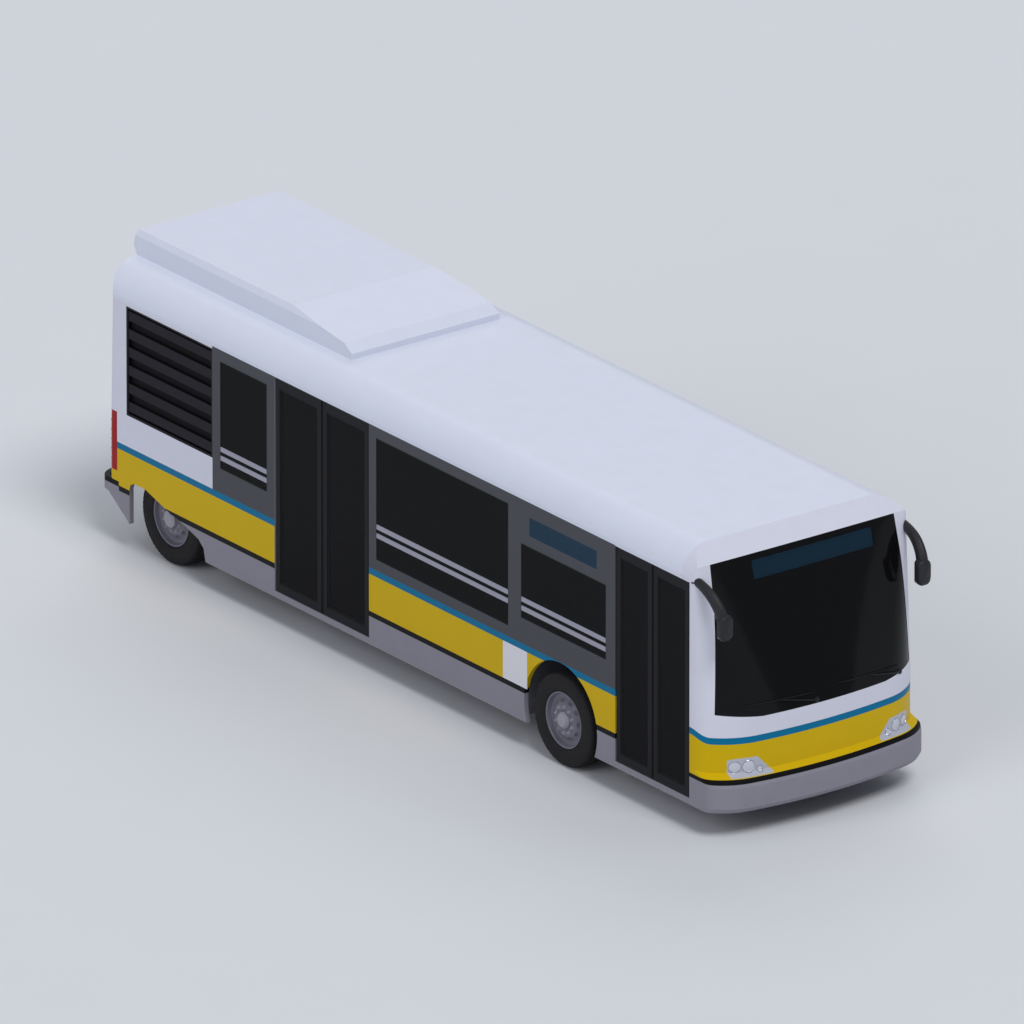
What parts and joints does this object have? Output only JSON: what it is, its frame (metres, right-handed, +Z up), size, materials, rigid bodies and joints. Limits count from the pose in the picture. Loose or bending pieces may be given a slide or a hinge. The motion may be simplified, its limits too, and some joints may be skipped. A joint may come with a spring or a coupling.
{
  "type": "city bus",
  "caption": "Low-floor city bus with hinged double-leaf kerb doors, steered front wheels, twin rear wheels, rear engine door, side louvres and roof pod.",
  "frame": {"origin": "on the ground at the middle of the length and the width", "axes": "+X forward, +Y to the bus's left, +Z up; the doors are on the -Y side"},
  "size_m": [10.2298, 2.59, 3.14],
  "materials": {
    "white_roof": "gloss",
    "body_paint": "gloss",
    "mask_gelcoat": "gloss",
    "bumper_plastic": "satin",
    "tinted_glass": "clear",
    "rail_paint": "satin",
    "sign_face": "gloss",
    "plate_white": "gloss",
    "lamp_clear": "gloss",
    "lamp_red": "gloss",
    "louvre_metal": "matte",
    "pod_cover": "gloss",
    "mirror_plastic": "satin",
    "frame_steel": "matte",
    "floor_lining": "matte",
    "engine_iron": "matte",
    "axle_iron": "matte",
    "tyre": "matte",
    "wheel_steel": "satin",
    "bellows_rubber": "matte",
    "door_paint": "satin",
    "seat_fabric": "matte",
    "dash_vinyl": "matte",
    "pole_steel": "satin",
    "pin_steel": "satin"
  },
  "bodies": {
    "body": {"roof": "white_roof", "right_cove": "white_roof", "left_cove": "white_roof", "outriggers": "frame_steel", "tow_plates": "frame_steel", "rear_frame": "frame_steel", "right_wall": "body_paint", "left_wall": "body_paint", "front_panel": "mask_gelcoat", "rear_panel": "body_paint", "windscreen": "tinted_glass", "headlamps": "lamp_clear", "tail_lamps": "lamp_red", "front_bumper": "bumper_plastic", "rear_bumper": "bumper_plastic", "roof_pod": "pod_cover", "side_skirts": "bumper_plastic", "side_windows": "tinted_glass", "window_rails": "rail_paint", "blank_plates": "plate_white", "destination_signs": "sign_face", "side_louvres": "louvre_metal", "door_pivots": "pin_steel", "cabin_floor": "floor_lining", "wheel_boxes": "floor_lining", "engine_deck": "frame_steel", "engine_bulkhead": "floor_lining", "engine": "engine_iron", "underframe": "frame_steel", "front_axle": "axle_iron", "rear_axle": "axle_iron", "air_springs": "bellows_rubber", "mirrors": "mirror_plastic", "dashboard": "dash_vinyl", "passenger_seats": "seat_fabric", "driver_seat": "seat_fabric", "steering_wheel": "dash_vinyl", "grab_poles": "pole_steel"},
    "engine_door": {"engine_door": "body_paint"},
    "left_knuckle": {"left_knuckle": "axle_iron"},
    "right_knuckle": {"right_knuckle": "axle_iron"},
    "front_door_rear_leaf": {"front_door_rear_leaf": "door_paint", "front_door_rear_glass": "tinted_glass"},
    "front_door_front_leaf": {"front_door_front_leaf": "door_paint", "front_door_front_glass": "tinted_glass"},
    "rear_door_rear_leaf": {"rear_door_rear_leaf": "door_paint", "rear_door_rear_glass": "tinted_glass"},
    "rear_door_front_leaf": {"rear_door_front_leaf": "door_paint", "rear_door_front_glass": "tinted_glass"},
    "front_left_wheel": {"front_left_rim": "wheel_steel", "front_left_tyre": "tyre"},
    "rear_left_wheels": {"rear_left_rims": "wheel_steel", "rear_left_tyres": "tyre"},
    "front_right_wheel": {"front_right_rim": "wheel_steel", "front_right_tyre": "tyre"},
    "rear_right_wheels": {"rear_right_rims": "wheel_steel", "rear_right_tyres": "tyre"}
  },
  "joints": [
    {"name": "steer_left", "type": "hinge", "parent": "body", "child": "left_knuckle", "pos_m": [2.47, 0.96, 0.478], "axis": [0, 0, 1], "range_deg": [-38, 38]},
    {"name": "steer_right", "type": "hinge", "parent": "body", "child": "right_knuckle", "pos_m": [2.47, -0.96, 0.478], "axis": [0, 0, 1], "range_deg": [-38, 38]},
    {"name": "spin_front_left", "type": "hinge", "parent": "left_knuckle", "child": "front_left_wheel", "pos_m": [2.47, 1.1425, 0.478], "axis": [0, 1, 0], "continuous": true},
    {"name": "spin_rear_left", "type": "hinge", "parent": "body", "child": "rear_left_wheels", "pos_m": [-4.005, 0.8975, 0.478], "axis": [0, 1, 0], "continuous": true},
    {"name": "spin_front_right", "type": "hinge", "parent": "right_knuckle", "child": "front_right_wheel", "pos_m": [2.47, -1.1425, 0.478], "axis": [0, 1, 0], "continuous": true},
    {"name": "spin_rear_right", "type": "hinge", "parent": "body", "child": "rear_right_wheels", "pos_m": [-4.005, -0.8975, 0.478], "axis": [0, 1, 0], "continuous": true},
    {"name": "open_front_door", "type": "hinge", "parent": "body", "child": "front_door_rear_leaf", "pos_m": [3.367, -1.269, 1.4], "axis": [0, 0, -1], "range_deg": [0, 90]},
    {"name": "open_front_door_front", "type": "hinge", "parent": "body", "child": "front_door_front_leaf", "pos_m": [4.498, -1.269, 1.4], "axis": [0, 0, 1], "range_deg": [0, 90]},
    {"name": "open_rear_door", "type": "hinge", "parent": "body", "child": "rear_door_rear_leaf", "pos_m": [-2.123, -1.269, 1.4], "axis": [0, 0, -1], "range_deg": [0, 90]},
    {"name": "open_rear_door_front", "type": "hinge", "parent": "body", "child": "rear_door_front_leaf", "pos_m": [-0.643, -1.269, 1.4], "axis": [0, 0, 1], "range_deg": [0, 90]},
    {"name": "lift_engine_door", "type": "hinge", "parent": "body", "child": "engine_door", "pos_m": [-5.012, 0, 1.754], "axis": [0, 1, 0], "range_deg": [0, 75]}
  ],
  "couplings": [
    {"joint": "steer_right", "follows": "steer_left", "ratio": 1},
    {"joint": "open_front_door_front", "follows": "open_front_door", "ratio": 1},
    {"joint": "open_rear_door_front", "follows": "open_rear_door", "ratio": 1}
  ]
}
